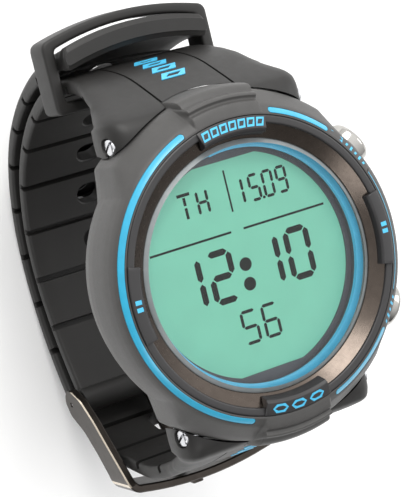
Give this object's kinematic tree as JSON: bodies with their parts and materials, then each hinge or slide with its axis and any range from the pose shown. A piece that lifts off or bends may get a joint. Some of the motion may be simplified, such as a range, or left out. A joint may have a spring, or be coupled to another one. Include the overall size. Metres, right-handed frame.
{
  "type": "dive computer",
  "caption": "Round wrist dive computer with a segment display, two side buttons and a long rubber strap closed by a metal buckle and a keeper.",
  "frame": {"origin": "centre of the case back's flat face", "axes": "+Z out of the display, +Y to 12 o'clock, +X to 3 o'clock"},
  "size_m": [0.0508, 0.0818, 0.0685],
  "materials": {
    "case_polymer": "fine-grained matt charcoal polymer",
    "bezel_black": "satin near-black",
    "accent_blue": "satin cyan blue",
    "lens_glass": "clear mineral glass",
    "gasket_grey": "translucent grey",
    "display_mask": "printed grey film",
    "display_panel": "green-grey liquid crystal",
    "clear_polymer": "milky clear",
    "seal_rubber": "soft black",
    "module_white": "moulded off-white",
    "circuit_green": "solder mask green",
    "chip_black": "moulded epoxy",
    "steel": "bright turned steel",
    "brass": "plain",
    "back_polymer": "matt dark polymer",
    "button_steel": "polished, slightly worn",
    "strap_rubber": "matt moulded polyurethane",
    "gunmetal": "dark plated with bright worn edges"
  },
  "bodies": {
    "case": {"case_body": "case_polymer", "bezel_ring": "bezel_black", "bezel_pads": "bezel_black", "bezel_plate_12": "bezel_black", "bezel_plate_6": "bezel_black", "bezel_inlays": "accent_blue", "accent_arcs": "accent_blue", "button_icons": "accent_blue", "lens": "lens_glass", "lens_gasket": "gasket_grey", "flange_ring": "accent_blue", "display_mask": "display_mask", "display_panel": "display_panel", "light_guide": "clear_polymer", "contact_strips": "seal_rubber", "module_frame": "module_white", "circuit_board": "circuit_green", "processor": "chip_black", "clock_crystal": "steel", "side_switches": "steel", "pressure_sensor": "steel", "sensor_seal": "seal_rubber", "buzzer": "brass", "battery": "steel", "battery_spring": "brass", "case_back": "back_polymer", "back_gasket": "seal_rubber", "back_screws": "steel", "button_bushes": "steel", "button_seals": "seal_rubber", "button_springs": "steel", "strap_pin_12": "steel", "strap_pin_6": "steel", "strap_pin_screws": "steel"},
    "battery_cap": {"battery_cap": "back_polymer", "battery_cap_seal": "seal_rubber"},
    "upper_button": {"upper_button": "button_steel", "upper_button_clip": "steel"},
    "lower_button": {"lower_button": "button_steel", "lower_button_clip": "steel"},
    "upper_strap": {"upper_strap": "strap_rubber", "strap_marks_12": "accent_blue", "buckle_pin": "steel"},
    "lower_strap": {"lower_strap": "strap_rubber", "strap_marks_6": "accent_blue"},
    "buckle_frame": {"buckle_frame": "gunmetal"},
    "buckle_tongue": {"buckle_tongue": "gunmetal"},
    "keeper": {"keeper": "strap_rubber"}
  },
  "joints": [
    {"name": "upper_button_press", "type": "slide", "parent": "case", "child": "upper_button", "axis": [-0.866, -0.5, 0], "range_m": [0, 0.0009], "stiffness_N_per_m": 2000, "springref_m": -0.0005, "deforming": ["button_springs"]},
    {"name": "lower_button_press", "type": "slide", "parent": "case", "child": "lower_button", "axis": [-0.866, 0.5, 0], "range_m": [0, 0.0009], "stiffness_N_per_m": 2000, "springref_m": -0.0005},
    {"name": "battery_cap_turn", "type": "hinge", "parent": "case", "child": "battery_cap", "pos_m": [0, -0.004, 0], "axis": [0, 0, 1], "range_deg": [-58, 0]},
    {"name": "upper_strap_rock", "type": "hinge", "parent": "case", "child": "upper_strap", "pos_m": [0, 0.0228, 0.006], "axis": [1, 0, 0], "range_deg": [-0.5, 0.5]},
    {"name": "lower_strap_rock", "type": "hinge", "parent": "case", "child": "lower_strap", "pos_m": [0, -0.0228, 0.006], "axis": [1, 0, 0], "range_deg": [-0.5, 0.5]},
    {"name": "buckle_frame_turn", "type": "hinge", "parent": "upper_strap", "child": "buckle_frame", "pos_m": [0, -0.0223, -0.0414], "axis": [1, 0, 0], "range_deg": [0, 1.5]},
    {"name": "buckle_tongue_turn", "type": "hinge", "parent": "buckle_frame", "child": "buckle_tongue", "pos_m": [0, -0.0223, -0.0414], "axis": [1, 0, 0], "range_deg": [0, 1]},
    {"name": "keeper_slide", "type": "slide", "parent": "upper_strap", "child": "keeper", "axis": [0, 0, 1], "range_m": [-0.002, 0.002]}
  ],
  "couplings": [
    {"joint": "lower_strap_rock", "follows": "upper_strap_rock", "ratio": 1}
  ]
}
